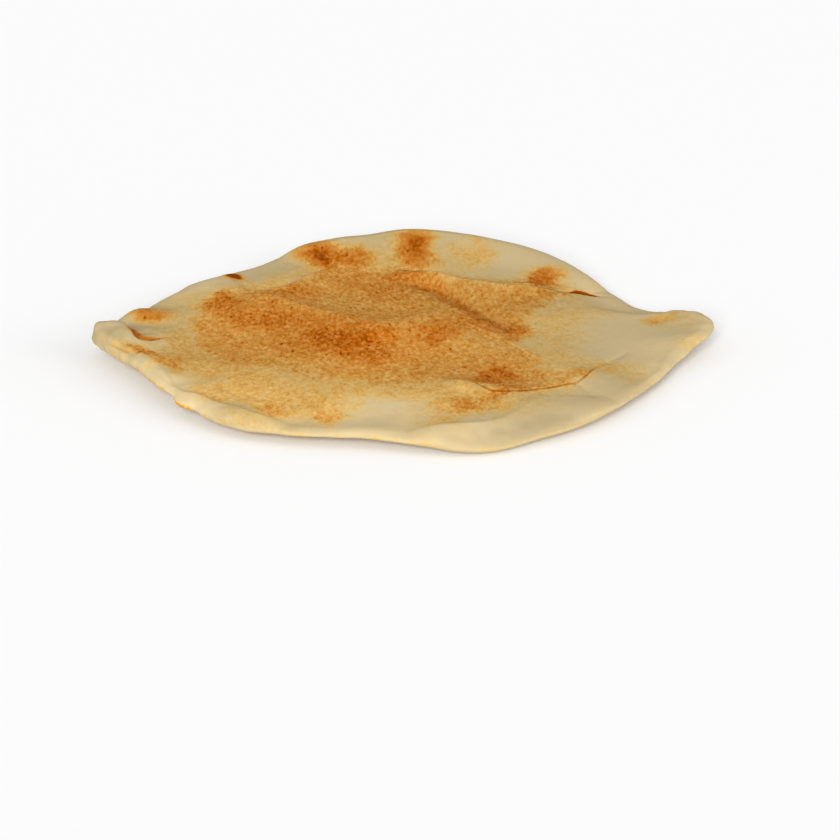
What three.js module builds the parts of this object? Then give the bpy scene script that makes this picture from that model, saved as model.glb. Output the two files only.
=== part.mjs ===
// A large thin pita bread as it lies after baking: a flat pocket of bread with a rolled, uneven rim that
// turns up at the back and at two pinched ears, and with soft folds over its middle. Its two layers have
// collapsed on each other, so it is one closed solid.
//
// Millimetres, +Z up, +X to the right ear, +Y to the high back rim. The origin is the middle of the
// bread's bounding box, at the bottom, where its flat underside rests.
//
// The surface is worked out in rings round the middle. Every direction has an outline radius, the height
// of the underside below the rim, the height of the rim's crest, the distance from the edge in to the
// crest, and the width of the slope from the crest down to the middle.
import * as THREE from "three";

// Driving dimensions: the plain round bread, before its rim features are added.
const plainRim = {
  radius: 113.7, // middle to outer edge
  lift: 3.9, // underside above the table, just inside the edge
  crest: 8.7, // top of the rim
  inset: 6.5, // edge to crest, measured inwards
  slope: 12, // width of the slope from the crest to the middle
};

// Limits that keep the rim a sound piece of bread wherever the features thin it.
const leastLift = 0.8;
const leastInset = 2.4;
const leastThickness = 3.3;

// The seam of the two layers runs round the edge at this share of the edge's thickness, no higher than
// that share of a thin edge.
const seamShare = 0.42;
const seamThickness = 7;

// Roundness of the upper edge: 2 is a quarter ellipse, more is fuller.
const edgeFullness = 2.5;

// Where the rim differs from the plain one, in order round the edge. at and spread are degrees round from
// +X, and the rest is what the feature adds to the plain rim's dimensions.
const rimFeatures = [
  { name: "right ear, back", at: 6, spread: 6, lift: 0.5, crest: 2 },
  { name: "bottom of the right notch", at: 14, spread: 3, crest: -1.8 },
  { name: "right notch", at: 20, spread: 10, radius: -6.3, lift: -1.6, crest: -4.4, inset: 1.1 },
  { name: "fall to the right notch", at: 28, spread: 11.4, radius: -1.8, crest: -4.8 },
  { name: "back right", at: 38, spread: 16, radius: -7.1, lift: -2.6, crest: 0.4, inset: 2.2 },
  { name: "back rim, right swell", at: 60, spread: 13, crest: 1 },
  { name: "high back rim", at: 88, spread: 24, radius: 0.6, lift: 4.7, crest: 6.4, inset: 2.3, slope: 9 },
  { name: "back rim, dip", at: 98, spread: 5, crest: -1.3 },
  { name: "back rim, left end", at: 112, spread: 8, radius: -1.6, lift: 0.4, crest: 0.7, inset: 1.1 },
  { name: "back rim, bump", at: 114, spread: 4, crest: 1 },
  { name: "back left hollow, right end", at: 125, spread: 7, radius: -3, crest: -0.8 },
  { name: "back left hollow", at: 133, spread: 13, radius: -4.8, lift: -1.2, crest: -5, inset: 1.7 },
  { name: "back left hollow, left end", at: 151, spread: 7, radius: -2.6, crest: -0.4 },
  { name: "left side, back", at: 160, spread: 10, radius: -3.2, crest: -1.6 },
  { name: "swell behind the left ear", at: 171, spread: 4, crest: 1.8 },
  { name: "left ear, back", at: 176, spread: 5, lift: 0.2, crest: 1.8 },
  { name: "gap behind the left ear", at: 179, spread: 3.6, crest: -3.4, inset: 0.5 },
  { name: "left ear, corner", at: 185.4, spread: 1.7, radius: 0.4, crest: 2.2 },
  { name: "left ear", at: 186, spread: 9, radius: 12.2, lift: 1.4, crest: 5.2, inset: -3.8, slope: 7 },
  { name: "left ear, blunt tip", at: 189, spread: 4, radius: -1.4, crest: 0.4 },
  { name: "left ear, front", at: 191, spread: 7, crest: -0.5, inset: 2.4 },
  { name: "left roll", at: 206, spread: 15, radius: 0.7, lift: 3, crest: 5, inset: -1.7, slope: 3 },
  { name: "left lip, before the pinch", at: 208, spread: 5, crest: 0.4, inset: 0.4 },
  { name: "left lip, pinch", at: 217.5, spread: 4.2, radius: -0.6, lift: 0.9, crest: -1.9, inset: -2.6 },
  { name: "left lip, lobe", at: 222, spread: 3, radius: 1.9, lift: -0.5 },
  { name: "shoulder", at: 236, spread: 9, radius: 3.6, lift: -0.6, crest: 1.5, inset: -1.1, slope: -2 },
  { name: "left lip, rise", at: 236, spread: 6, crest: 0.9, inset: 0.7 },
  { name: "left lip, end", at: 249, spread: 6, crest: -1.5, inset: -1.9 },
  { name: "thin front", at: 262, spread: 9, radius: -3.5, lift: 0.1, crest: -5.6, inset: -4.5 },
  { name: "belly, left", at: 280, spread: 8, crest: 1.1, inset: 0.8 },
  { name: "belly", at: 285, spread: 11, radius: 6.2, lift: -2.9, inset: 3.9, slope: -1 },
  { name: "belly, right", at: 303, spread: 10, radius: 2.4, lift: -1.3, crest: 1.3, inset: 14 },
  { name: "thin right side", at: 330, spread: 14, radius: -2.4, crest: -4.9, inset: -5, slope: 4 },
  { name: "hollow before the right ear", at: 342, spread: 6, radius: -0.8 },
  { name: "right ear, front", at: 352, spread: 4, radius: -0.9 },
  { name: "right ear, tip", at: 357.5, spread: 4.5, radius: -0.3, lift: -2.2, crest: -3 },
  { name: "right ear", at: 359, spread: 9.5, radius: 12, lift: 6, crest: 3.8, inset: -2.3 },
];

// The middle of the top: its level, and the slow swells that cover it.
const middleLevel = 8.5;
const longSwell = { rise: 0.6, wavelengthX: 119, wavelengthY: 100, shiftX: 1.2, shiftY: -0.6 };
const crossSwell = { rise: 0.4, wavelength: 49 };

// Folds of the top layer, each along a smooth line through its points. rise is negative in a valley;
// leftWidth and rightWidth are its widths on the two sides of the line, seen along it.
const folds = [
  {
    name: "back fold",
    line: [[-14, 70], [14, 60], [34, 49], [52, 46], [72, 38]],
    rise: 2.8,
    leftWidth: 4.5,
    rightWidth: 11,
  },
  {
    name: "valley before the back fold",
    line: [[-10, 60], [10, 46], [25, 25], [44, -6]],
    rise: -2.2,
    leftWidth: 6,
    rightWidth: 5,
  },
  {
    name: "middle swell",
    line: [[-66, 46], [-49, 27], [-18, 4], [-1, -12]],
    rise: 2,
    leftWidth: 10,
    rightWidth: 16,
  },
  {
    name: "trough behind the middle swell",
    line: [[-42, 52], [-16, 36], [8, 10]],
    rise: -1.8,
    leftWidth: 13,
    rightWidth: 13,
  },
  {
    name: "front swell",
    line: [[14, -58], [32, -72], [44, -84]],
    rise: 1.8,
    leftWidth: 9,
    rightWidth: 5,
  },
  {
    name: "lower right fold",
    line: [[30, -70], [47, -71], [67, -59], [76, -46]],
    rise: 1.5,
    leftWidth: 16,
    rightWidth: 4,
  },
  {
    name: "fold behind the left ear",
    line: [[-116, 6], [-109, -6], [-100, -16]],
    rise: -1.4,
    leftWidth: 4,
    rightWidth: 4,
  },
];
const foldTaper = 0.25; // share of a fold's length over which each end fades out
const foldSteps = 6; // straight steps between two points of a fold's line

// The underside: round below the edge, then down to the flat middle that the bread rests on.
const underEdge = 2.6;
const underSlope = 38;

// Mesh density. The rings lie closer together towards the edge, more so the higher the crowding.
const segmentsAround = 144;
const topRings = { count: 28, crowding: 1.5 };
const underRings = { count: 10, crowding: 2.2 };

const crustColour = 0xd9b67c;
const crustRoughness = 0.85;

// 0 at and below 0, 1 at and above 1, and smooth between.
function smoothShare(value) {
  return THREE.MathUtils.smoothstep(value, 0, 1);
}

// The rim's dimensions in one direction, given in degrees.
function rimAt(degrees) {
  const rim = { ...plainRim };
  for (const feature of rimFeatures) {
    const away = THREE.MathUtils.euclideanModulo(degrees - feature.at + 180, 360) - 180;
    const strength = Math.exp(-((away / feature.spread) ** 2));
    for (const dimension of Object.keys(plainRim)) {
      rim[dimension] += strength * (feature[dimension] ?? 0);
    }
  }
  rim.lift = Math.max(rim.lift, leastLift);
  rim.inset = Math.max(rim.inset, leastInset);
  rim.crest = Math.max(rim.crest, rim.lift + leastThickness);
  rim.seam = rim.lift + seamShare * Math.min(rim.crest - rim.lift, seamThickness);
  return rim;
}

// The straight steps of a fold's line, with the share of its length that lies before each.
function foldStepsOf(fold) {
  const curve = new THREE.CatmullRomCurve3(fold.line.map(([x, y]) => new THREE.Vector3(x, y, 0)));
  const points = curve.getPoints(foldSteps * (fold.line.length - 1));
  return points.slice(1).map((end, index) => ({
    start: points[index],
    end,
    before: index / (points.length - 1),
    share: 1 / (points.length - 1),
  }));
}

const foldLines = folds.map((fold) => ({ ...fold, steps: foldStepsOf(fold) }));

// Nearest place to (x, y) on a fold's line: how far it is, on which side and how far along the line.
function nearestOnFold(fold, x, y) {
  let nearest = { distance: Infinity, side: 0, along: 0 };
  for (const { start, end, before, share } of fold.steps) {
    const stepX = end.x - start.x;
    const stepY = end.y - start.y;
    const length = Math.hypot(stepX, stepY);
    const reach = ((x - start.x) * stepX + (y - start.y) * stepY) / length ** 2;
    const onStep = THREE.MathUtils.clamp(reach, 0, 1);
    const offX = x - start.x - onStep * stepX;
    const offY = y - start.y - onStep * stepY;
    const distance = Math.hypot(offX, offY);
    if (distance < nearest.distance) {
      const side = distance > 0 ? (stepX * offY - stepY * offX) / (length * distance) : 0;
      nearest = { distance, side, along: before + onStep * share };
    }
  }
  return nearest;
}

// Height that one fold adds at (x, y): a bell across the line, faded out at the line's two ends.
function foldHeight(fold, x, y) {
  const { distance, side, along } = nearestOnFold(fold, x, y);
  const width = THREE.MathUtils.lerp(fold.rightWidth, fold.leftWidth, (side + 1) / 2);
  const fade = smoothShare(Math.min(along, 1 - along) / foldTaper);
  return fold.rise * Math.exp(-((distance / width) ** 2)) * fade;
}

// Height of the swells and folds above the plain middle level.
function reliefAt(x, y) {
  const turn = 2 * Math.PI;
  const alongX = Math.sin((turn * x) / longSwell.wavelengthX + longSwell.shiftX);
  const alongY = Math.cos((turn * y) / longSwell.wavelengthY + longSwell.shiftY);
  const diagonal = (x + y) / Math.SQRT2;
  const across = Math.sin((turn * diagonal) / crossSwell.wavelength);
  let height = longSwell.rise * alongX * alongY + crossSwell.rise * across;
  for (const fold of foldLines) {
    height += foldHeight(fold, x, y);
  }
  return height;
}

// Height of the top, at a distance in from the edge: round up to the crest, then down to the middle.
function topHeight(rim, fromEdge, x, y) {
  const reliefShare = THREE.MathUtils.clamp(fromEdge / (1.5 * rim.inset), 0, 1);
  const pastCrest = Math.max(fromEdge - rim.inset, 0) / rim.slope;
  const level = middleLevel + (rim.crest - middleLevel) * Math.exp(-(pastCrest ** 2));
  const full = level + reliefShare * reliefAt(x, y);
  if (fromEdge >= rim.inset) {
    return full;
  }
  const toCrest = 1 - fromEdge / rim.inset;
  return rim.seam + (full - rim.seam) * (1 - toCrest ** edgeFullness) ** (1 / edgeFullness);
}

// Height of the underside, at a distance in from the edge: round under, then down to the flat middle.
function underHeight(rim, fromEdge) {
  const level = rim.lift * (1 - smoothShare((fromEdge - underEdge) / underSlope));
  if (fromEdge >= underEdge) {
    return level;
  }
  const toLevel = 1 - fromEdge / underEdge;
  return rim.seam - (rim.seam - level) * Math.sqrt(1 - toLevel ** 2);
}

// The closed surface: the seam's ring, the rings of the top, the rings of the underside and two middles.
function breadGeometry() {
  const positions = [];
  const triangles = [];
  const rims = Array.from({ length: segmentsAround }, (_, step) => rimAt((step / segmentsAround) * 360));

  function addPoint(x, y, z) {
    positions.push(x, y, z);
    return positions.length / 3 - 1;
  }

  function addRing(edgeShare, heightAt) {
    return rims.map((rim, step) => {
      const angle = (step / segmentsAround) * 2 * Math.PI;
      const fromEdge = rim.radius * edgeShare;
      const x = (rim.radius - fromEdge) * Math.cos(angle);
      const y = (rim.radius - fromEdge) * Math.sin(angle);
      return addPoint(x, y, heightAt(rim, fromEdge, x, y));
    });
  }

  function addTriangle(a, b, c, upwards) {
    triangles.push(a, upwards ? b : c, upwards ? c : b);
  }

  function addSide(seamRing, rings, heightAt, upwards) {
    let outer = seamRing;
    for (let ring = 1; ring < rings.count; ring += 1) {
      const inner = addRing((ring / rings.count) ** rings.crowding, heightAt);
      for (let step = 0; step < segmentsAround; step += 1) {
        const next = (step + 1) % segmentsAround;
        addTriangle(outer[step], outer[next], inner[step], upwards);
        addTriangle(outer[next], inner[next], inner[step], upwards);
      }
      outer = inner;
    }
    const middle = addPoint(0, 0, heightAt(rims[0], rims[0].radius, 0, 0));
    for (let step = 0; step < segmentsAround; step += 1) {
      addTriangle(outer[step], outer[(step + 1) % segmentsAround], middle, upwards);
    }
  }

  const seamRing = addRing(0, (rim) => rim.seam);
  addSide(seamRing, topRings, topHeight, true);
  addSide(seamRing, underRings, underHeight, false);

  const geometry = new THREE.BufferGeometry();
  geometry.setAttribute("position", new THREE.Float32BufferAttribute(positions, 3));
  geometry.setIndex(triangles);
  geometry.computeBoundingBox();
  const { min, max } = geometry.boundingBox;
  geometry.translate(-(min.x + max.x) / 2, -(min.y + max.y) / 2, -min.z);
  geometry.computeVertexNormals();
  return geometry;
}

function pitaBread() {
  const crust = new THREE.MeshStandardMaterial({
    color: crustColour,
    roughness: crustRoughness,
    metalness: 0,
  });
  const bread = new THREE.Mesh(breadGeometry(), crust);
  bread.name = "pita_bread";
  return bread;
}

const part = new THREE.Group();
part.add(pitaBread());

export default part;
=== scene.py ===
import math

import bpy
import numpy as np
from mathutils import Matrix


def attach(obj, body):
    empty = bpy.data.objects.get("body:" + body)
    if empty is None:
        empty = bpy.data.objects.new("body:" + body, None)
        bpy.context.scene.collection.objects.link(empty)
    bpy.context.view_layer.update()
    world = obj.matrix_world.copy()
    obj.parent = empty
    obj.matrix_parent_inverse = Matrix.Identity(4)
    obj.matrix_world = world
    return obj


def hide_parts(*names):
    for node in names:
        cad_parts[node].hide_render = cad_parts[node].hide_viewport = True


# A large thin pita bread lying flat on a pale floor. Its shapes are worked out in millimetres and put into
# the mesh in metres. The top and the underside are two surfaces over the direction round the middle and the
# distance in from the edge, and they meet in the seam of the bread's two layers.
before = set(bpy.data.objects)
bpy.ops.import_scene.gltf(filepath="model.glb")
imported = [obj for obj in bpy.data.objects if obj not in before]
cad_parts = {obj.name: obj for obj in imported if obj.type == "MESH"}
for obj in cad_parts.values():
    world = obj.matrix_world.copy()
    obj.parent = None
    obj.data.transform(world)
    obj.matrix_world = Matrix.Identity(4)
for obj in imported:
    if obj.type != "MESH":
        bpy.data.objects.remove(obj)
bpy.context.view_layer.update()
breadNode = "pita_bread"
mm = 0.001
fullTurn = 2 * math.pi


def smoothShare(value):
    # 0 below 0, 1 above 1, with level ends between
    value = np.clip(value, 0, 1)
    return value * value * (3 - 2 * value)


def bell(value):
    # 1 at 0, and almost nothing from 2 on
    return np.exp(-value * value)


def bellRound(angle, at, spread):
    # a bell over the direction round the bread: the angle is in radians, at and spread are in degrees
    return bell(((np.degrees(angle) - at + 180) % 360 - 180) / spread)


# The waves of a random field are between these shares of its wavelength, and each field has its own seed.
waveLengths = (0.7, 1.5)
seeds = {"wanderX": 11, "wanderY": 13, "underClouds": 21, "wrinkle": 31, "peel": 32, "dent": 33,
         "dentRidge": 34, "ragged": 41, "lipWave": 42}


def waveField(points, wavelength, seed, waves=18):
    # a random smooth field of about -1 to 1: many plane waves in random directions, added up and divided by
    # the root of their number
    draw = np.random.default_rng(seed)
    total = np.zeros(len(points))
    for _ in range(waves):
        direction = draw.normal(size=points.shape[1])
        direction /= np.linalg.norm(direction)
        length = wavelength * draw.uniform(*waveLengths)
        total += np.sin(points @ direction * (fullTurn / length) + draw.uniform(0, fullTurn))
    return total * math.sqrt(2 / waves) / 2


def roundField(angle, slowest, fastest, seed, waves=12):
    # the same round a closed edge: waves that fit a whole number of times into the turn
    draw = np.random.default_rng(seed)
    total = np.zeros_like(angle)
    for turns in draw.integers(slowest, fastest, waves):
        total += np.sin(turns * angle + draw.uniform(0, fullTurn))
    return total * math.sqrt(2 / waves) / 2


# The plain round bread: outline radius, underside's lift below the rim, crest height, distance from the
# edge in to the crest, and width of the slope from the crest down to the middle.
plainRim = {"radius": 113.7, "lift": 3.9, "crest": 8.7, "inset": 6.5, "slope": 12}
# What keeps the rim whole where it is thinned, and how high in it the seam lies: at this share of its
# thickness, but no higher than that share of seamThickness.
rimLimits = {"leastLift": 0.8, "leastInset": 2.4, "leastThickness": 3.3,
             "seamShare": 0.42, "seamThickness": 7}

# Where the rim differs: direction and spread in degrees, then what is added to each of the five values.
rimFeatures = {
    "rightEar": (359, 9.5, 12, 6, 3.8, -2.3, 0),
    "rightEarBack": (6, 6, 0, 0.5, 1.4, 0, 0),
    "rightNotch": (20, 10, -6.3, -1.6, -4.4, 1.1, 0),
    "fallingBackRight": (38, 16, -7.1, -2.6, 0.4, 2.2, 0),
    "highBackRim": (88, 24, 0.6, 4.7, 6.4, 2.3, 9),
    "backRimLeftEnd": (112, 8, -1.6, 0.4, 0.7, 1.1, 0),
    "backLeftHollow": (133, 13, -4.8, -1.2, -5, 1.7, 0),
    "leftSideBack": (160, 10, -3.2, 0, -1.6, 0, 0),
    "leftEarBack": (176, 5, 0, 0.2, 1.8, 0, 0),
    "leftEar": (186, 9, 12.2, 1.4, 5.2, -3.8, 7),
    "leftSideRolled": (206, 15, 0.7, 3, 5, -1.7, 3),
    "frontLeftShoulder": (236, 9, 3.6, -0.6, 1.5, -1.1, -2),
    "thinFront": (262, 9, -3.5, 0.1, -5.6, -4.5, 0),
    "frontBelly": (285, 11, 6.2, -2.9, 0, 3.9, -1),
    "frontBellyLeft": (280, 8, 0, 0, 1.1, 0.8, 0),
    "frontBellyRight": (303, 10, 2.4, -1.3, 1.3, 14, 0),
    "thinRightSide": (330, 14, -2.4, 0, -4.9, -5, 4),
    "cutBeforeNotch": (28, 11.4, -1.8, 0, -4.8, 0, 0),
    "lowNotch": (14, 3, 0, 0, -1.8, 0, 0),
    "rightEarTip": (357.5, 4.5, -0.3, -2.2, -3.0, 0, 0),
    "rightEarFront": (352, 4, -0.9, 0, 0, 0, 0),
    "rightEdgeCut": (342, 6, -0.8, 0, 0, 0, 0),
    "backRightCrest": (60, 13, 0, 0, 1.0, 0, 0),
    "backCrestDip": (98, 5, 0, 0, -1.3, 0, 0),
    "backCrestBump": (114, 4, 0, 0, 1.0, 0, 0),
    "backLeftCut": (125, 7, -3.0, 0, -0.8, 0, 0),
    "leftCut": (151, 7, -2.6, 0, -0.4, 0, 0),
    "swellBehindEar": (171, 4, 0, 0, 1.8, 0, 0),
    "gapAtEar": (179.3, 3.8, 0, 0, -3.7, 0.5, 0),
    "bluntEar": (189, 4, -1.4, 0, 0.4, 0, 0),
    "earCorner": (185.4, 1.7, 0.4, 0, 1.2, 0, 0),
    "broadEar": (191, 7, 0, 0, -0.5, 2.4, 0),
    "lipPinch": (217.5, 4.2, -0.6, 0.9, -1.9, -2.6, 0),
    "lipBefore": (208, 5, 0, 0, 0.4, 0.4, 0),
    "lipLobe": (222, 3, 1.9, -0.5, 0, 0, 0),
    "lipRise": (236, 6, 0, 0, 0.9, 0.7, 0),
    "lipEnd": (249, 6, 0, 0, -1.5, -1.9, 0),
}

# The middle of the top: its level, a slow swell over the bread's length and depth, and one that crosses it
# diagonally, each with its rise and wavelengths; the shifts are radians.
middle = {"level": 8.5, "longRise": 0.6, "longX": 119, "longY": 100, "shiftX": 1.2, "shiftY": -0.6,
          "crossRise": 0.4, "crossLength": 49}

# How sharp the crest is, 0 to 1: direction, spread, amount.
crestSharpness = {
    "leftLip": (222, 18, 0.95),
    "frontLeft": (246, 16, 0.8),
    "thinFront": (266, 10, 0.7),
    "belly": (284, 16, 0.95),
    "rightSide": (336, 22, 0.9),
    "rightEar": (2, 10, 0.5),
    "backRim": (96, 34, 0.35),
}
# How full the edge is above the seam, where 2 is a quarter ellipse, and how much of that a sharp crest
# loses; how steeply a sharp crest falls, and the bead along it; and how far in, in insets, the middle's
# relief is at its full height.
crestProfile = {"fullness": 2.5, "fullnessLost": 1.1, "sharpFall": 1.5, "beadRise": 0.2, "beadWidth": 1.8,
                "fullRelief": 1.5}

# Folds: the line's points, the rise, and the width on the left and on the right of the line.
folds = {
    "backFold": ([(-14, 70), (14, 60), (34, 49), (52, 46), (72, 38)], 2.8, 4.5, 11),
    "valleyBeforeBackFold": ([(-7, 64), (13, 50), (28, 28), (46, -5)], -2.2, 6, 5),
    "middleSwell": ([(-66, 46), (-49, 27), (-18, 4), (-1, -12)], 2, 10, 16),
    "troughBehindMiddle": ([(-42, 52), (-16, 36), (8, 10)], -1.8, 13, 13),
    "frontSwell": ([(14, -58), (32, -72), (44, -84)], 1.8, 9, 5),
    "lowerRightFold": ([(30, -70), (47, -71), (67, -59), (76, -46)], 1.1, 16, 6),
    "foldBehindLeftEar": ([(-116, 6), (-109, -6), (-100, -16)], -1.4, 4, 4),
    "middleCrest": ([(-72, 42), (-61, 39), (-51, 32), (-42, 25), (-33, 16), (-20, 9)], 0.6, 2, 5),
    "slit": ([(64, 44), (69, 47), (72, 49), (76, 50), (80, 50), (84, 49), (90, 47.5)], -0.8, 1.6, 1.4),
    "rightDash": ([(76, -46), (83, -36), (90, -26)], -0.35, 1.8, 1.8),
    "branch": ([(64, -60), (69, -68), (72, -77)], -0.5, 1.8, 1.8),
    "earGroove": ([(-125, -16), (-121, -22), (-117, -27), (-112, -33), (-106, -42)], -1.3, 1.8, 1.8),
}
foldTaper = 0.25  # share of a fold's length over which each end fades
foldSteps = 6  # straight steps between two points of a line

# Laps, where the skin on the right of a line lies a little over the skin on its left: the line's points,
# the rise on the right and its width, the dip on the left and its width, and the width of the step.
laps = {
    "backFoldEdge": ([(-6, 73), (3, 70), (11, 66), (19, 58), (27, 52), (35, 47.5), (45, 44), (57, 42.3),
                      (70, 41.5)], 1.0, 7, 1.2, 4.5, 2.2),
    "valleyEdge": ([(44, -13), (41, -1), (36, 12), (31, 23), (26, 32), (20, 41), (13, 49), (5, 55), (-3, 60)],
                   0.5, 7, 0.6, 3, 2.2),
    "fineCrease": ([(56, -48), (51, -38), (44, -24), (37, -14), (31, -6), (27, 0), (20, 9)],
                   0.45, 4, 0.45, 3, 1.2),
    "lowerRightEdge": ([(76, -44), (73, -51), (70, -58), (66, -63), (60, -66.5), (54, -70), (48, -73.5),
                        (41, -76.5), (34, -75), (28, -67), (25, -61)], 0.14, 6, 0.3, 4, 1.0),
    "tanEdge": ([(17, -56), (21, -60), (27, -71), (34, -79), (42, -86)], 0.35, 6, 0.35, 6, 6),
    "earCrescent": ([(-120, -5), (-115, -8), (-111, -12), (-108.5, -18), (-106, -24), (-102, -26), (-98, -22),
                     (-94, -16), (-89, -12)], 0.9, 5, 1.8, 4.5, 1.2),
    "backLeftEdge": ([(-68, 37), (-61, 43), (-56, 47), (-50, 50), (-45, 56), (-41, 65), (-36, 70),
                      (-29, 73.5), (-20, 74.5), (-8, 74)], 0.6, 6, 0.6, 5, 2.2),
    "swellEnd": ([(-80, 79), (-76, 73), (-72, 63), (-68, 52), (-64, 43)], 0.4, 12, 0.4, 8, 9),
}

# The underside: width of the round at its edge, and of the fall from there to the flat middle.
underside = {"edge": 2.6, "slope": 38}


def rimAt(angle):
    # the plain rim, and on it each feature's values times a bell over the direction
    names = list(plainRim)
    rim = {name: np.full_like(angle, float(plainRim[name])) for name in names}
    for at, spread, *added in rimFeatures.values():
        strength = bellRound(angle, at, spread)
        for name, amount in zip(names, added):
            rim[name] += strength * amount
    limits = rimLimits
    rim["lift"] = np.maximum(rim["lift"], limits["leastLift"])
    rim["inset"] = np.maximum(rim["inset"], limits["leastInset"])
    rim["crest"] = np.maximum(rim["crest"], rim["lift"] + limits["leastThickness"])
    thickness = np.minimum(rim["crest"] - rim["lift"], limits["seamThickness"])
    rim["seam"] = rim["lift"] + limits["seamShare"] * thickness
    rim["sharpness"] = np.zeros_like(angle)
    for at, spread, amount in crestSharpness.values():
        strength = amount * bellRound(angle, at, spread)
        rim["sharpness"] = np.maximum(rim["sharpness"], strength)
    return rim


def smoothLine(points):
    # a smooth curve through the points: between two of them, a cubic that also looks at their neighbours
    points = np.array(points, float)
    padded = np.vstack([2 * points[0] - points[1], points, 2 * points[-1] - points[-2]])
    share = (np.arange(foldSteps) / foldSteps)[:, None]
    pieces = []
    for before, start, end, after in zip(padded, padded[1:], padded[2:], padded[3:]):
        pieces.append(0.5 * (2 * start + (end - before) * share
                             + (2 * before - 5 * start + 4 * end - after) * share ** 2
                             + (3 * start - before - 3 * end + after) * share ** 3))
    return np.vstack(pieces + [points[-1:]])


def nearLine(line, x, y):
    # distance to the line, the side of it (-1 right to 1 left), and the share of it already passed
    distance = np.full_like(x, np.inf)
    side = np.zeros_like(x)
    along = np.zeros_like(x)
    steps = len(line) - 1
    for step in range(steps):
        (startX, startY), (endX, endY) = line[step], line[step + 1]
        stepX, stepY = endX - startX, endY - startY
        length = math.hypot(stepX, stepY)
        onStep = np.clip(((x - startX) * stepX + (y - startY) * stepY) / length ** 2, 0, 1)
        offX = x - startX - onStep * stepX
        offY = y - startY - onStep * stepY
        away = np.hypot(offX, offY)
        closer = away < distance
        turned = (stepX * offY - stepY * offX) / (length * np.maximum(away, 1e-9))
        distance = np.where(closer, away, distance)
        side = np.where(closer, turned, side)
        along = np.where(closer, (step + onStep) / steps, along)
    return distance, side, along


def foldHeight(x, y, line, rise, leftWidth, rightWidth):
    # a bell across the line, faded out at its two ends
    distance, side, along = nearLine(smoothLine(line), x, y)
    width = rightWidth + (leftWidth - rightWidth) * (side + 1) / 2
    return rise * bell(distance / width) * smoothShare(np.minimum(along, 1 - along) / foldTaper)


def lapHeight(x, y, line, rise, highWidth, dip, lowWidth, step):
    # a steep step at the line, and from it a slow return to the level on both sides
    distance, side, along = nearLine(smoothLine(line), x, y)
    onHigh = smoothShare(0.5 - distance * np.sign(side) / step)
    height = onHigh * rise * bell(distance / highWidth) - (1 - onHigh) * dip * bell(distance / lowWidth)
    return height * smoothShare(np.minimum(along, 1 - along) / foldTaper)


def reliefAt(x, y):
    # slow swells and folds of the top, above its plain level
    values = middle
    height = values["longRise"] * (np.sin(fullTurn * x / values["longX"] + values["shiftX"])
                                   * np.cos(fullTurn * y / values["longY"] + values["shiftY"]))
    height += values["crossRise"] * np.sin(fullTurn * (x + y) / math.sqrt(2) / values["crossLength"])
    for fold in folds.values():
        height += foldHeight(x, y, *fold)
    for lap in laps.values():
        height += lapHeight(x, y, *lap)
    return height


def topHeight(rim, fromEdge, x, y):
    # a full round from the seam up to the crest, then a slope down to the middle's relief: a bell, or where
    # the crest is sharp an exponential fall
    profile = crestProfile
    sharpness = rim["sharpness"]
    pastCrest = np.maximum(fromEdge - rim["inset"], 0) / rim["slope"]
    slope = (1 - sharpness) * bell(pastCrest) + sharpness * np.exp(-profile["sharpFall"] * pastCrest)
    full = middle["level"] + (rim["crest"] - middle["level"]) * slope
    full += np.clip(fromEdge / (profile["fullRelief"] * rim["inset"]), 0, 1) * reliefAt(x, y)
    full += sharpness * profile["beadRise"] * bell((fromEdge - rim["inset"]) / profile["beadWidth"])
    toCrest = 1 - np.clip(fromEdge / rim["inset"], 0, 1)
    fullness = profile["fullness"] - profile["fullnessLost"] * sharpness
    return rim["seam"] + (full - rim["seam"]) * (1 - toCrest ** fullness) ** (1 / fullness)


def underHeight(rim, fromEdge, x, y):
    # a quarter round under the seam, then a smooth fall to the flat middle
    level = rim["lift"] * (1 - smoothShare((fromEdge - underside["edge"]) / underside["slope"]))
    toLevel = 1 - np.clip(fromEdge / underside["edge"], 0, 1)
    return rim["seam"] - (rim["seam"] - level) * np.sqrt(np.maximum(1 - toLevel ** 2, 0))


# The rings of points: how many points the widest has, how many rings the top and the underside have, how
# much closer they lie towards the edge, and the fewest points of a ring.
meshDensity = {"around": 768, "topRings": 134, "topCrowding": 1.25, "underRings": 38, "underCrowding": 1.9,
               "fewest": 48}


def ringPlan(rings, crowding):
    # share of the radius that each ring lies in from the edge, and how many points it has: half as many
    # each time the ring is half as wide
    plan = []
    for ring in range(rings):
        share = (ring / rings) ** crowding
        halvings = int(max(0, math.floor(-math.log2(max(1 - share, 1e-6)))))
        plan.append((share, max(meshDensity["around"] >> halvings, meshDensity["fewest"])))
    return plan


def stitch(outer, inner):
    # triangles between two rings, anticlockwise seen from above; the inner may have half the points
    nextOuter = np.roll(outer, -1)
    nextInner = np.roll(inner, -1)
    if len(inner) == len(outer):
        return np.vstack([np.stack([outer, nextOuter, inner], 1), np.stack([nextOuter, nextInner, inner], 1)])
    first, second, third = outer[0::2], outer[1::2], np.roll(outer[0::2], -1)
    return np.vstack([np.stack([first, second, inner], 1), np.stack([second, third, nextInner], 1),
                      np.stack([second, nextInner, inner], 1)])


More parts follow.
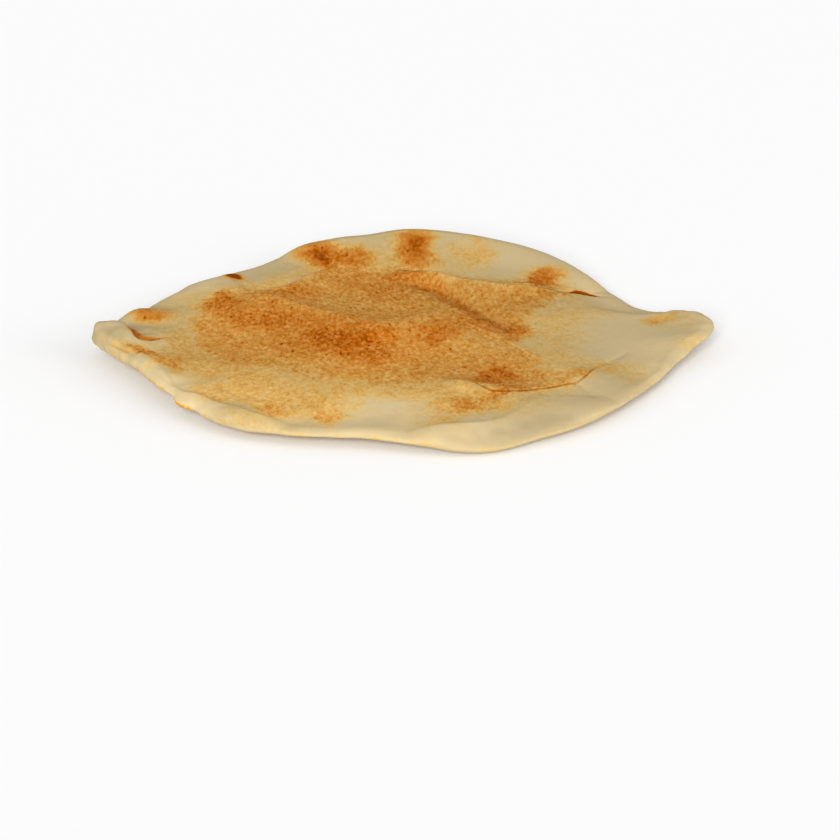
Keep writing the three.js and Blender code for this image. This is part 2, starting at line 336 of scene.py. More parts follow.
def breadSurface():
    # the seam's ring, the top's rings to its middle, and the underside's rings to its middle
    points, faces, sides = [], [], []
    count = 0

    def addRing(share, around, heightAt, sideValue):
        nonlocal count
        angle = np.arange(around) / around * fullTurn
        rim = rimAt(angle)
        fromEdge = rim["radius"] * share
        x = (rim["radius"] - fromEdge) * np.cos(angle)
        y = (rim["radius"] - fromEdge) * np.sin(angle)
        points.append(np.stack([x, y, heightAt(rim, fromEdge, x, y)], 1))
        sides.append(np.full(around, sideValue))
        count += around
        return np.arange(count - around, count)

    seamRing = addRing(0, meshDensity["around"], topHeight, 0.0)
    for rings, crowding, heightAt, sideValue in (
            (meshDensity["topRings"], meshDensity["topCrowding"], topHeight, 1.0),
            (meshDensity["underRings"], meshDensity["underCrowding"], underHeight, -1.0)):
        outer = seamRing
        for share, around in ringPlan(rings, crowding)[1:]:
            if around < len(outer):
                around = len(outer) // 2
            inner = addRing(share, around, heightAt, sideValue)
            strip = stitch(outer, inner)
            faces.append(strip if sideValue > 0 else strip[:, ::-1])
            outer = inner
        middlePoint = addRing(1, 1, heightAt, sideValue)
        fan = np.stack([outer, np.roll(outer, -1), np.repeat(middlePoint, len(outer))], 1)
        faces.append(fan if sideValue > 0 else fan[:, ::-1])
    return np.vstack(points), np.vstack(faces), np.concatenate(sides)


def vertexNormals(points, faces):
    # every face's normal, weighted by its area, added up at its corners
    a, b, c = (points[faces[:, corner]] for corner in range(3))
    faceNormal = np.cross(b - a, c - a)
    normal = np.zeros_like(points)
    for corner in range(3):
        for axis in range(3):
            normal[:, axis] += np.bincount(faces[:, corner], faceNormal[:, axis], len(points))
    return normal / np.linalg.norm(normal, axis=1, keepdims=True)


points, faces, sides = breadSurface()
low, high = points.min(0), points.max(0)
centre = (low + high) / 2
shift = -np.array([centre[0], centre[1], low[2]])
print("bread surface", len(points), "points", len(faces), "triangles")

# Browned regions: the border's points, the browning inside, and how wide the border fades.
brownedRegions = {
    "middle": ([(-87, 0), (-87, 24), (-82, 42), (-74, 47), (-66, 40), (-61, 44), (-52, 53), (-44, 58),
                (-40, 68), (-33, 73), (-20, 75), (-6, 75), (6, 73), (12, 68), (19, 59), (27, 53), (36, 47.5),
                (48, 44), (62, 42), (68, 41), (62, 30), (56, 18), (53, 8), (54, -4), (50, -14), (51, -26),
                (54, -38), (57, -47), (64, -50), (69, -52), (64, -59), (54, -66), (42, -74), (33, -74),
                (27, -68), (12, -64), (-4, -65), (-20, -62), (-38, -56), (-56, -50), (-72, -42),
                (-82, -26)], 0.42, 16),
    "front": ([(-97, -8), (-95, -30), (-89, -54), (-78, -70), (-64, -84), (-50, -94), (-37, -96), (-31, -102),
               (-25, -102), (-22, -90), (-12, -82), (4, -84), (12, -97), (24, -99), (34, -94), (43, -87),
               (40, -78), (30, -66), (0, -56), (-40, -50), (-80, -20), (-88, 10)], 0.27, 12),
    "halo": ([(-98, 30), (-88, 46), (-70, 58), (-56, 62), (-46, 76), (-38, 86), (-16, 86), (-6, 80), (10, 80),
              (22, 70), (40, 60), (56, 66), (68, 58), (70, 44), (74, 20), (72, -10), (70, -34), (78, -46),
              (70, -56), (56, -72), (48, -88), (20, -98), (-10, -80), (-30, -98), (-58, -92), (-86, -58),
              (-100, -20)], 0.19, 26),
}
# Browned patches: middle x and y, half lengths, turn in degrees, strength.
brownedPatches = {
    "core": (-24, -14, 26, 22, 0, 0.22),
    "coreDark": (-21, -16, 16, 12, 0, 0.2),
    "coreBack": (-40, 8, 18, 11, 0, 0.06),
    "coreFront": (-10, -35, 15, 11, 0, 0.1),
    "coreLeft": (-58, 12, 16, 15, 0, 0.22),
    "leftArm": (-75, 29, 7, 15, 0, 0.28),
    "leftArmBack": (-66, 42, 10, 9, 0, 0.16),
    "backLeft": (-48, 45, 10, 10, 30, 0.2),
    "backMiddle": (-8, 56, 22, 16, 0, 0.1),
    "midRight": (14, -7, 9, 11, 0, 0.28),
    "rightOfCore": (26, 6, 16, 10, 0, 0.08),
    "palerRight": (40, -18, 12, 14, 0, -0.1),
    "farRight": (43, -3, 8, 8, 0, 0.2),
    "alongValley": (25, 22, 5, 18, 20, 0.2),
    "valleyBack": (6, 52, 14, 5, -38, 0.06),
    "backFoldEnd": (2, 64, 9, 9, -15, 0.12),
    "aboveEdge": (36, -55, 8, 13, 0, 0.3),
    "alongEdge": (42, -76, 11, 4, 4, 0.36),
    "edgeStrip": (52, -68, 14, 3, 26, 0.12),
    "aboveEdgeRight": (67, -59, 8, 4, 45, 0.22),
    "insideLeftLip": (-92, -46, 6, 11, 10, 0.16),
    "leftLip": (-103.5, -36, 3.8, 11, 43, 0.5),
    "leftLipEnd": (-92, -50, 5, 7, 40, 0.2),
    "frontLeftCrest": (-74, -77, 12, 3, -42, 0.22),
    "frontLeft": (-50, -88, 8, 7, 0, 0.12),
    "frontSpot": (-28, -99, 6, 5, 0, 0.16),
    "frontSwell": (24, -86, 11, 8, 0, 0.26),
    "palerFront": (-2, -80, 18, 8, 0, -0.12),
    "rightWarm": (82, 22, 12, 14, 0, 0.08),
    "rightFrontWarm": (86, -50, 9, 10, 0, 0.13),
    "rightDashWarm": (80, -42, 9, 8, 0, 0.1),
    "backRimWarm": (-31, 85, 16, 14, 0, 0.24),
    "backRimTan": (-20, 96, 13, 13, 0, 0.03),
    "backFoldTop": (29, 57, 10, 5, -30, 0.12),
    "behindSlit": (70, 40, 8, 8, 0, 0.1),
    "frontRightSpot": (13, -102, 8, 4, 0, 0.14),
    "palerFrontLeft": (-42, -46, 12, 8, 0, -0.06),
    "palerLip": (-98, -57, 5, 13, 38, -0.14),
    "palerLipEnd": (-86, -76, 10, 5, -45, -0.05),
    "palerInsideLip": (-79, -59, 8, 5, 0, -0.12),
    "lipWarm": (-60, -99, 13, 5, -24, 0.12),
    "backRimMiddleWarm": (2, 88, 12, 18, 0, 0.22),
    "backRimFaint": (30, 86, 11, 16, -4, 0.22),
    "backRightWarm": (57, 56, 13, 17, -8, 0.2),
    "leftEarWarm": (-104, 9, 8, 8, 0, 0.1),
    "rightEarWarm": (106, 3, 10, 7, 0, 0.12),
    "rightEdgeWarm": (114, -20, 6, 8, 0, 0.12),
}
# Scorched spots: middle x and y, half lengths, turn, strength.
scorches = {
    "backLeftLobe": (-36, 90, 8, 14, 0, 1.15),
    "backLeftDark": (-36, 85, 4, 14, 14, 0.45),
    "backLeftSecond": (-20, 85, 8, 11, 0, 0.7),
    "backLeftArm": (-44, 91, 6, 7, 20, 0.45),
    "backMiddle": (6, 92, 7.5, 17, 0, 1.25),
    "backMiddleDark": (4, 94, 4, 10, 0, 0.4),
    "backMiddleLeft": (-3, 95, 5, 10, 0, 0.5),
    "backMiddleRight": (11, 99, 4, 6, 0, 0.3),
    "backFaint": (32, 104, 4, 7, 0, 0.35),
    "backRight": (58, 58, 7, 14, -8, 0.85),
    "backRightHead": (64, 66, 7, 6, 0, 0.5),
    "leftSide": (-105, 9, 7, 8, 8, 0.8),
    "leftSideEdge": (-98, 14, 6, 6, 8, 0.5),
    "rightEar": (104, 7, 8, 7, -12, 0.55),
}
# Crisp scorched marks, pointed at both ends: the line's points, the half width, the strength, and how wide
# the border fades.
lensMarks = {
    # the slit's mark is a scorched spot and also the painted shadow in the pocket under its fold
    "slit": ([(69, 46.4), (71, 47.8), (73.5, 49.2), (76.5, 49.9), (79.5, 49.9), (82.5, 49.2)], 2.2, 3.0, 1.2),
    "lowerRightEdge": ([(27, -62), (31, -69), (37, -73), (44, -74), (51, -71), (58, -67)], 5, 0.15, 6),
    "besideSwell": ([(-79, 77), (-75, 72), (-71, 67), (-66, 58)], 4.0, 0.7, 4),
    "besideSwellCore": ([(-77, 76), (-73, 72), (-69, 65)], 2.5, 2.1, 3),
    "earCrescent": ([(-113, -2), (-110.5, -7), (-108.5, -13), (-106.5, -18.5), (-103.5, -21.5), (-99, -19),
                     (-95, -14)], 2.6, 1.6, 2.6),
}
# Painted shading: areas painted lighter where faces catch more light and duller where slopes and valleys lie
# in shade: middle x and y, half lengths, turn, and the steps of painted shading, lighter above 0 and duller
# below.
paintedShadingAreas = {
    "frontLeft": (-50, -78, 44, 20, -14, 1.1),
    "frontMiddle": (0, -84, 40, 14, 6, 1.5),
    "thinFront": (-20, -106, 34, 8, 4, -0.2),
    "insideLip": (-80, -74, 14, 8, -40, 0.7),
    "leftLip": (-98, -44, 12, 36, 28, 0.3),
    "leftLipMiddle": (-98, -46, 5, 6, 0, 0.8),
    "leftEar": (-118, -16, 14, 16, 0, -1.0),
    "leftBack": (-84, 44, 14, 16, 0, 1.1),
    "leftDull": (-95, 6, 12, 10, 0, -0.8),
    "leftCore": (-66, 0, 30, 26, 0, 0.4),
    "coreFront": (-10, -24, 26, 26, 0, 0.8),
    "backFoldDull": (42, 38, 34, 18, -10, -0.7),
    "valleyDull": (24, 34, 18, 24, 30, -0.3),
    "backMiddleDull": (-20, 48, 34, 14, 0, -0.5),
    "bellyRightDull": (52, -107, 21, 9, 28, -1.6),
    "bellyDull": (24, -118, 24, 5, 6, -0.7),
    "bellyLight": (18, -109, 22, 5, 8, 0.6),
    "lipFrontDull": (-60, -99, 13, 5, -24, -0.9),
    "frontSpotDull": (-37, -86, 7, 5, 0, -1.1),
    "plateauDull": (-84, -56, 10, 8, 0, -0.8),
    "frontSwellDull": (20, -82, 14, 8, 0, -1.2),
    "edgeDull": (44, -80, 10, 5, 4, -1.2),
    "swellLight": (-80, 60, 10, 10, 0, 0.7),
    "rightEdgeLight": (98, -46, 10, 7, 50, 0.8),
    "rightEarDull": (106, 4, 10, 7, -12, -0.8),
    "rightBack": (92, 18, 20, 16, 0, 0.5),
    "rightFrontDull": (80, -60, 14, 16, 0, -0.7),
    "rightMiddleDull": (55, 28, 14, 14, 0, -0.7),
    "backRimDull": (6, 90, 36, 16, 0, -0.7),
}


def patchField(x, y, patches):
    # each patch is exp(-r cubed) over its ellipse: full in the middle, a third at the border and soon gone
    total = np.zeros_like(x)
    for midX, midY, halfX, halfY, turn, strength in patches.values():
        cosine, sine = math.cos(math.radians(turn)), math.sin(math.radians(turn))
        alongX = ((x - midX) * cosine + (y - midY) * sine) / halfX
        alongY = ((y - midY) * cosine - (x - midX) * sine) / halfY
        total += strength * np.exp(-(alongX ** 2 + alongY ** 2) ** 1.5)
    return total


def lensField(x, y, marks):
    # a mark's half width swells as half a wave from end to end; the mark fades across its border
    total = np.zeros_like(x)
    for line, halfWidth, strength, fade in marks.values():
        distance, _, along = nearLine(smoothLine(line), x, y)
        inside = halfWidth * np.sin(np.pi * along) - distance
        total += strength * smoothShare(0.5 + inside / fade)
    return total


def regionField(x, y, border, strength, fade):
    # full inside the border, fading across it, by the distance to the border and the side of it
    line = smoothLine(border + border[:1])
    distance, _, _ = nearLine(line, x, y)
    inside = np.zeros(len(x), bool)
    for (startX, startY), (endX, endY) in zip(line, line[1:]):
        crosses = (startY > y) != (endY > y)
        run = (endX - startX) / (endY - startY if endY != startY else 1)
        inside ^= crosses & (x < startX + (y - startY) * run)
    return strength * smoothShare(0.5 + np.where(inside, distance, -distance) / fade)


# The browned areas wander off their plain borders: size and reach of the slow and the fine wandering, and the
# share of it that scorched spots follow.
wander = {"slow": 24, "slowReach": 2.6, "fine": 8, "fineReach": 1.8, "scorchShare": 0.5}
# Clouds on the underside: browning, how much it varies, their size, and where the pale edge ends.
underClouds = {"browning": 0.35, "swing": 0.35, "size": 45, "paleEdge": 4, "edgeFade": 16}


def wanderField(points, seed):
    # a slow and a fine random field, added up
    return (waveField(points, wander["slow"], seed) * wander["slowReach"]
            + waveField(points, wander["fine"], seed + 1) * wander["fineReach"])


flat = points[:, :2]
around = np.arctan2(flat[:, 1], flat[:, 0])
rimHere = rimAt(around % fullTurn)
fromSeam = np.hypot(rimHere["radius"] - np.hypot(flat[:, 0], flat[:, 1]), points[:, 2] - rimHere["seam"])
wanderX = wanderField(flat, seeds["wanderX"])
wanderY = wanderField(flat, seeds["wanderY"])
warpedX, warpedY = flat[:, 0] + wanderX, flat[:, 1] + wanderY
topSide = sides >= 0
seamSide = np.where(topSide, fromSeam, -fromSeam)
browning = np.zeros(len(flat))
for region in brownedRegions.values():
    browning = np.maximum(browning, regionField(warpedX, warpedY, *region))
browning += patchField(warpedX, warpedY, brownedPatches)
scorch = patchField(flat[:, 0] + wanderX * wander["scorchShare"],
                    flat[:, 1] + wanderY * wander["scorchShare"], scorches)
scorch += lensField(flat[:, 0], flat[:, 1], lensMarks)
scorch = np.where(topSide, scorch, 0)
paintedShading = np.where(topSide, patchField(warpedX, warpedY, paintedShadingAreas), 0)
underBrowned = waveField(flat, underClouds["size"], seeds["underClouds"])
underBrowned = underClouds["browning"] + underClouds["swing"] * underBrowned
underBrowned *= smoothShare((fromSeam - underClouds["paleEdge"]) / underClouds["edgeFade"])
browning = np.where(topSide, browning, underBrowned)
print("browning worked out, mean", round(float(browning.mean()), 3))

# Lines that have baked brown and painted shade, darker where a fold's edge would shade the skin: the line's
# name among the laps and folds, how strongly, and how widely.
bakedShadedLines = {
    "backFoldEdge": (0.9, 3.2),
    "valleyEdge": (0.5, 3.4),
    "fineCrease": (0.3, 1),
    "lowerRightEdge": (0.9, 1.3),
    "earCrescent": (0.6, 2.2),
    "swellEnd": (0.2, 3),
    "rightDash": (0.35, 1),
    "branch": (0.2, 1.5),
    "slit": (0.5, 1),
}
# The share of a baked and shaded line's length over which each end fades, how many widths further away the
# line counts there, and a distance in widths that is far from every line.
bakedShadedLineEnds = {"taper": 0.12, "handicap": 6, "farAway": 20.0}


def lineMarks(x, y):
    # signed distance to the nearest baked and shaded line in widths (right of it is positive), and that
    # line's strength
    best = np.full_like(x, np.inf)
    signed = np.full_like(x, bakedShadedLineEnds["farAway"])
    strength = np.zeros_like(x)
    for name, (amount, width) in bakedShadedLines.items():
        line = {**folds, **laps}[name][0]
        distance, side, along = nearLine(smoothLine(line), x, y)
        taper = smoothShare(np.minimum(along, 1 - along) / bakedShadedLineEnds["taper"])
        distance /= width
        weighed = distance + bakedShadedLineEnds["handicap"] * (1 - taper)
        closer = weighed < best
        best = np.where(closer, weighed, best)
        signed = np.where(closer, -distance * np.sign(side), signed)
        strength = np.where(closer, amount * taper, strength)
    return signed, strength


creaseSide, creaseStrength = lineMarks(flat[:, 0], flat[:, 1])
creaseStrength = np.where(topSide, creaseStrength, 0)

# Fine relief along the normals: the height and size of each kind. Wrinkles and peel grow with the browning,
# and plainWrinkle and plainPeel are the share of them that a pale skin has. stretch makes both longer from
# front to back. The ragged edge and the lip's waves fit this many times into the turn.
fineRelief = {"wrinkle": 0.2, "wrinkleLength": 7, "plainWrinkle": 0.04, "peel": 0.07, "peelLength": 3,
              "peelWaves": 24, "plainPeel": 0.3, "blister": 0.25, "stretch": (1.0, 0.6, 1.0),
              "ragged": 0.11, "raggedWidth": 1.2, "raggedTurns": (25, 240), "raggedWaves": 30,
              "lipWave": 0.09, "lipWidth": 5, "lipTurns": (12, 60), "lipWaves": 20,
              "dent": 0.5, "dentLength": 9, "dentWidth": 13, "dentRidge": 0.6}
# The pinched ears and the lip beside the left one are dented: direction and spread in degrees, share.
dented = {"leftEar": (192, 14, 1.0), "leftLip": (222, 22, 0.7), "rightEar": (2, 12, 0.8)}
# How brown the pressed seam is: a faint plain browning, and more of it by direction and spread in degrees.
plainSeamBrowning = 0.1
seamBrowned = {"leftLip": (222, 24, 0.8), "thinFront": (262, 14, 0.25), "rightEdge": (338, 16, 0.1)}
# Where the two layers of the edge part a little above the seam: direction and spread in degrees, distance
# from the seam, half width and depth, and how brown it is.
layerGrooves = {"leftEar": (195, 8, 3.4, 1.0, 0.8, 0.1), "leftLip": (214, 5, 3.4, 0.8, 0.2, 0)}

fine = fineRelief
normals = vertexNormals(points, faces)
wrinkles = 1 - 2 * np.abs(waveField(points * fine["stretch"], fine["wrinkleLength"], seeds["wrinkle"]))
peel = waveField(points * fine["stretch"], fine["peelLength"], seeds["peel"], fine["peelWaves"])
relief = fine["wrinkle"] * wrinkles * (fine["plainWrinkle"] + np.clip(browning, 0, 1))
relief += fine["peel"] * peel * (fine["plainPeel"] + np.clip(browning, 0, 1))
relief += fine["blister"] * np.clip(scorch, 0, 1)
ragged = roundField(around, *fine["raggedTurns"], seeds["ragged"], fine["raggedWaves"])
relief += fine["ragged"] * ragged * bell(fromSeam / fine["raggedWidth"])
lipWaves = roundField(around, *fine["lipTurns"], seeds["lipWave"], fine["lipWaves"])
relief += fine["lipWave"] * lipWaves * bell(fromSeam / fine["lipWidth"])
dentShare = np.zeros(len(flat))
for at, spread, amount in dented.values():
    dentShare = np.maximum(dentShare, amount * bellRound(around, at, spread))
dents = waveField(points, fine["dentLength"], seeds["dent"])
dents -= fine["dentRidge"] * np.abs(waveField(points, fine["dentLength"], seeds["dentRidge"]))
relief += fine["dent"] * dents * dentShare * bell(fromSeam / fine["dentWidth"])
seamBrowning = np.full(len(flat), plainSeamBrowning)
for at, spread, amount in seamBrowned.values():
    seamBrowning += amount * bellRound(around, at, spread)
for at, spread, distance, halfWidth, depth, brown in layerGrooves.values():
    groove = bellRound(around, at, spread) * bell((seamSide - distance) / halfWidth)
    relief -= depth * groove
    browning += brown * groove
print("fine relief from", round(float(relief.min()), 2), "to", round(float(relief.max()), 2), "mm")
points = points + normals * relief[:, None] + shift
points[:, 2] = np.maximum(points[:, 2], 0)


def pitaBread():
    # the closed mesh in metres, with the fields on its points for the material
    mesh = bpy.data.meshes.new("pitaBread")
    mesh.from_pydata((points * mm).tolist(), [], faces.tolist())
    mesh.polygons.foreach_set("use_smooth", np.ones(len(faces), bool))
    for name, values in (("browning", browning), ("scorch", scorch), ("creaseSide", creaseSide),
                         ("creaseStrength", creaseStrength), ("seamSide", seamSide),
                         ("seamBrowning", seamBrowning), ("paintedShading", paintedShading)):
        mesh.attributes.new(name, "FLOAT", "POINT").data.foreach_set("value", values.astype(np.float32))
    mesh.update()
    piece = bpy.data.objects.new("pitaBread", mesh)
    bpy.context.collection.objects.link(piece)
    return piece


bread = pitaBread()
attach(bread, "root")
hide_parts(breadNode)
print("bread made")

crust = {
    # baked colour by how much it is browned, from pale to scorched
    "ramp": [(0.0, (0.52, 0.404, 0.217)), (0.12, (0.55, 0.388, 0.16)), (0.25, (0.59, 0.354, 0.102)),
             (0.38, (0.57, 0.282, 0.06)), (0.50, (0.54, 0.222, 0.036)), (0.64, (0.50, 0.165, 0.019)),
             (0.82, (0.41, 0.105, 0.003)), (1.0, (0.27, 0.058, 0.001))],
    # patterns: size in millimetres, detail and roughness; the stretch makes them longer from front to back
    "cloud": (14, 3, 0.6), "mottle": (3.4, 4, 0.62), "grain": (1.5, 3, 0.6), "pore": (0.8, 2, 0.6),
    "speckSize": 2.7, "stretch": (1.0, 0.48, 1.0),
    # how much the patterns shift the browning; mottle and grain do so by a share that grows with it
    "cloudShift": 0.16, "grainShare": 2.0, "brownedShift": 0.58, "plainShift": 0.03,
    # how soon a browned skin is fully rough, and how rough a plain one is
    "skinGain": 2.6, "plainSkin": 0.12,
    # scorched blisters: raggedness, then scorch at the start and the end of each step and its browning
    "ragged": 0.3, "blisterRing": (0.0, 0.9, 0.36), "blisterHeart": (0.9, 2.0, 0.4),
    "charring": (1.6, 3.0), "charredBrowning": 0.4, "charredLight": -0.25,
    # dark flecks: browning and chance from which they appear, raggedness, radii and browning
    "fleckChance": (1.15, 1.4), "fleckRagged": -0.6, "fleckRadii": (0.26, 0.1), "fleckBrowning": 0.32,
    # baked lines with painted shade, in widths from the fold's edge: where they end on the high side and on
    # the low side, their browning and their painted shade
    "lineHigh": (0.45, 0.0), "lineLow": (-0.75, -0.1), "lineBrowning": 0.24, "lineShade": -0.4,
    # the seam's band in millimetres below and above it, the dots in it, and their browning
    "seamBelow": (-2.4, -1.0), "seamAbove": (0.9, -0.2), "seamCloud": 0.8, "seamDots": (-0.05, 0.2),
    "seamBrowning": 0.5,
    # lightness of a step of painted shading, and how much paler and dustier raised skin is, with its painted
    # sheen
    "paintedShadingStep": 0.16, "raisedMottle": 0.5, "raisedLight": 0.5, "raisedDustAndSheen": 0.045,
    "roughness": 0.85, "specular": 0.02, "grainHeight": 0.9, "poreHeight": 0.5, "bumpDepth": 0.62,
}


def crustMaterial():
    material = bpy.data.materials.new("crust")
    material.use_nodes = True
    tree = material.node_tree
    tree.nodes.clear()

    def node(kind, inputs, **settings):
        # a node with its settings made first, then each input linked or given its value
        made = tree.nodes.new(kind)
        for name, value in settings.items():
            setattr(made, name, value)
        for name, value in inputs.items():
            if isinstance(value, bpy.types.NodeSocket):
                tree.links.new(value, made.inputs[name])
            else:
                made.inputs[name].default_value = value
        return made

    def attribute(name):
        return node("ShaderNodeAttribute", {}, attribute_name=name).outputs["Fac"]

    def maths(operation, first, second=0.0, third=0.0, clamp=False):
        made = node("ShaderNodeMath", {0: first, 1: second, 2: third}, operation=operation, use_clamp=clamp)
        return made.outputs[0]

    def fade(value, start, end, full=1.0):
        # 0 at the start and full at the end, which may lie below the start
        made = node("ShaderNodeMapRange", {"Value": value, "From Min": start, "From Max": end,
                                           "To Min": 0.0, "To Max": full},
                    interpolation_type="SMOOTHSTEP")
        return made.outputs["Result"]

    def noise(size, detail, roughness):
        # clouds of the size given in millimetres, about a middle of 0
        made = node("ShaderNodeTexNoise", {"Vector": place, "Scale": 1 / (size * mm), "Detail": detail,
                                           "Roughness": roughness})
        return maths("SUBTRACT", made.outputs["Fac"], 0.5)

    place = node("ShaderNodeMapping", {"Vector": node("ShaderNodeTexCoord", {}).outputs["Object"],
                                       "Scale": crust["stretch"]}).outputs["Vector"]
    browned = attribute("browning")
    scorched = attribute("scorch")
    skin = maths("MULTIPLY_ADD", browned, crust["skinGain"], crust["plainSkin"], clamp=True)
    cloud = noise(*crust["cloud"])
    mottle = noise(*crust["mottle"])
    grain = noise(*crust["grain"])

    # a browned skin is mottled, and more so where it is darker; a pale one is nearly even
    unevenness = maths("ADD", mottle, maths("MULTIPLY", grain, crust["grainShare"]))
    reach = maths("MULTIPLY_ADD", browned, crust["brownedShift"], crust["plainShift"])
    clouded = maths("MULTIPLY_ADD", cloud, crust["cloudShift"], browned)
    baked = maths("MULTIPLY_ADD", unevenness, reach, clouded)

    # scorched blisters have ragged borders, a brown ring and a darker heart
    ragged = maths("MULTIPLY_ADD", unevenness, crust["ragged"], scorched)
    blister = maths("ADD", fade(ragged, *crust["blisterRing"]), fade(ragged, *crust["blisterHeart"]))
    baked = maths("ADD", baked, blister)
    charred = fade(scorched, *crust["charring"])
    baked = maths("MULTIPLY_ADD", charred, crust["charredBrowning"], baked)

    # dark flecks, thick in the dark patches and rare elsewhere
    flecks = node("ShaderNodeTexVoronoi", {"Vector": place, "Scale": 1 / (crust["speckSize"] * mm)})
    chance = node("ShaderNodeSeparateColor", {"Color": flecks.outputs["Color"]}).outputs["Red"]
    common = fade(maths("ADD", chance, baked), *crust["fleckChance"])
    blot = maths("MULTIPLY_ADD", grain, crust["fleckRagged"], flecks.outputs["Distance"])
    fleck = maths("MULTIPLY", fade(blot, *crust["fleckRadii"]), common)
    baked = maths("MULTIPLY_ADD", fleck, crust["fleckBrowning"], baked)

    # the folds' edges have baked brown and painted shade: a thin line, wider on the low side, where the fold
    # would shade the skin
    crease = attribute("creaseSide")
    line = maths("MULTIPLY", fade(crease, *crust["lineHigh"]), fade(crease, *crust["lineLow"]))
    line = maths("MULTIPLY", line, attribute("creaseStrength"))
    baked = maths("MULTIPLY_ADD", line, crust["lineBrowning"], baked)

    # the seam round the edge: small brown dots in a row
    seam = attribute("seamSide")
    band = maths("MULTIPLY", fade(seam, *crust["seamBelow"]), fade(seam, *crust["seamAbove"]))
    dotted = fade(maths("ADD", mottle, maths("MULTIPLY", cloud, crust["seamCloud"])), *crust["seamDots"])
    edge = maths("MULTIPLY", maths("MULTIPLY", band, dotted), attribute("seamBrowning"))
    baked = maths("MULTIPLY_ADD", edge, crust["seamBrowning"], baked)

    ramp = node("ShaderNodeValToRGB", {"Fac": baked})
    stops = ramp.color_ramp.elements
    while len(stops) < len(crust["ramp"]):
        stops.new(1.0)
    for stop, (position, colour) in zip(stops, crust["ramp"]):
        stop.position = position
        stop.color = (*colour, 1)

    # painted shading: the areas' steps of lighter and duller, then painted shade along the folds' edges
    lighter = maths("MULTIPLY_ADD", attribute("paintedShading"), crust["paintedShadingStep"], 1.0)
    lighter = maths("MULTIPLY", lighter, maths("MULTIPLY_ADD", line, crust["lineShade"], 1.0, clamp=True))
    lighter = maths("MULTIPLY", lighter, maths("MULTIPLY_ADD", charred, crust["charredLight"], 1.0))
    # raised skin is paler and dustier, pits are darker: painted light and shade of the small bumps, and a
    # whitish painted sheen where the skin would glint, as well as dust
    raised = maths("MULTIPLY_ADD", mottle, crust["raisedMottle"], grain)
    raised = maths("MULTIPLY", raised, maths("MULTIPLY", skin, -1.0))
    lighter = maths("MULTIPLY", lighter, maths("MULTIPLY_ADD", raised, crust["raisedLight"], 1.0))
    dustAndSheen = maths("MULTIPLY", raised, crust["raisedDustAndSheen"])
    scaled = node("ShaderNodeVectorMath", {"Vector": ramp.outputs["Color"], "Scale": lighter},
                  operation="SCALE")
    colour = node("ShaderNodeVectorMath", {0: scaled.outputs["Vector"], 1: dustAndSheen}, operation="ADD")

    pores = maths("MULTIPLY", noise(*crust["pore"]), crust["poreHeight"])
    height = maths("ADD", mottle, maths("MULTIPLY_ADD", grain, crust["grainHeight"], pores))
    height = maths("MULTIPLY", height, skin)
    bump = node("ShaderNodeBump", {"Height": height, "Strength": 1.0, "Distance": crust["bumpDepth"] * mm})
    shader = node("ShaderNodeBsdfPrincipled", {"Base Color": colour.outputs["Vector"],
                                               "Roughness": crust["roughness"],
                                               "Specular IOR Level": crust["specular"],
                                               "Normal": bump.outputs["Normal"]})
    node("ShaderNodeOutputMaterial", {"Surface": shader.outputs["BSDF"]})
    return material


bread.data.materials.append(crustMaterial())
print("crust material made")

floorSettings = {"size": 16.0, "colour": (0.96, 0.96, 0.96), "roughness": 0.9, "specular": 0.1}


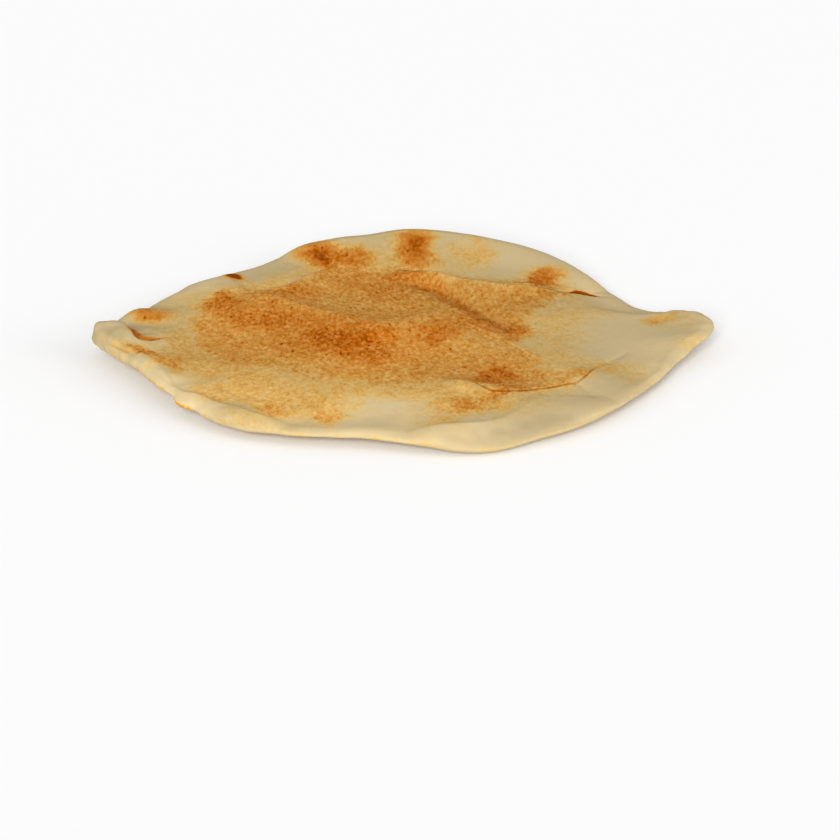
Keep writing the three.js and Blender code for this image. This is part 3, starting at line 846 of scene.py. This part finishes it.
def paleFloor():
    half = floorSettings["size"] / 2
    mesh = bpy.data.meshes.new("floor")
    corners = [(-half, -half, 0), (half, -half, 0), (half, half, 0), (-half, half, 0)]
    mesh.from_pydata(corners, [], [(0, 1, 2, 3)])
    floor = bpy.data.objects.new("floor", mesh)
    bpy.context.collection.objects.link(floor)
    material = bpy.data.materials.new("paleFloor")
    material.use_nodes = True
    shader = material.node_tree.nodes["Principled BSDF"]
    shader.inputs["Base Color"].default_value = (*floorSettings["colour"], 1)
    shader.inputs["Roughness"].default_value = floorSettings["roughness"]
    shader.inputs["Specular IOR Level"].default_value = floorSettings["specular"]
    mesh.materials.append(material)


# One broad soft light, low in front and a little to the left, a weaker one from the right, and an even
# white surround: each light's azimuth and elevation in degrees, strength, and spread in degrees.
lights = {"main": (-10, 23, 3.1, 24), "fill": (60, 14, 1.0, 40)}
surroundStrength = 0.55


def studioLight():
    for name, (azimuth, elevation, strength, spread) in lights.items():
        data = bpy.data.lights.new(name + "Light", "SUN")
        data.energy = strength
        data.angle = math.radians(spread)
        lamp = bpy.data.objects.new(name + "Light", data)
        lamp.rotation_euler = (math.radians(90 - elevation), 0, math.radians(azimuth))
        bpy.context.collection.objects.link(lamp)
    world = bpy.data.worlds.new("surround")
    world.use_nodes = True
    background = world.node_tree.nodes["Background"]
    background.inputs["Color"].default_value = (1, 1, 1, 1)
    background.inputs["Strength"].default_value = surroundStrength
    bpy.context.scene.world = world


cameraSettings = {"elevation": 20.0, "distance": 1.15, "pixelsPerMm": 2.47, "imageSide": 840,
                  "breadAt": (403, 329), "breadHeight": 0.008, "sensorWidth": 36, "near": 0.05, "far": 50}


def lookDown():
    # the bread's middle lands at breadAt, in pixels of the square image, seen from the given elevation
    values = cameraSettings
    focal = values["pixelsPerMm"] * values["distance"] / mm
    half = values["imageSide"] / 2
    elevation = math.radians(values["elevation"])
    sideways = math.atan((values["breadAt"][0] - half) / focal)
    down = elevation - math.atan((values["breadAt"][1] - half) / focal)
    data = bpy.data.cameras.new("camera")
    data.sensor_width = values["sensorWidth"]
    data.lens = values["sensorWidth"] * focal / values["imageSide"]
    data.clip_start, data.clip_end = values["near"], values["far"]
    camera = bpy.data.objects.new("camera", data)
    camera.location = (shift[0] * mm, shift[1] * mm - math.cos(elevation) * values["distance"],
                       values["breadHeight"] + math.sin(elevation) * values["distance"])
    camera.rotation_euler = (math.pi / 2 - down, 0, sideways)
    bpy.context.collection.objects.link(camera)
    bpy.context.scene.camera = camera


paleFloor()
studioLight()
lookDown()
bpy.context.scene.view_settings.view_transform = "Standard"
print("floor, light and camera made")
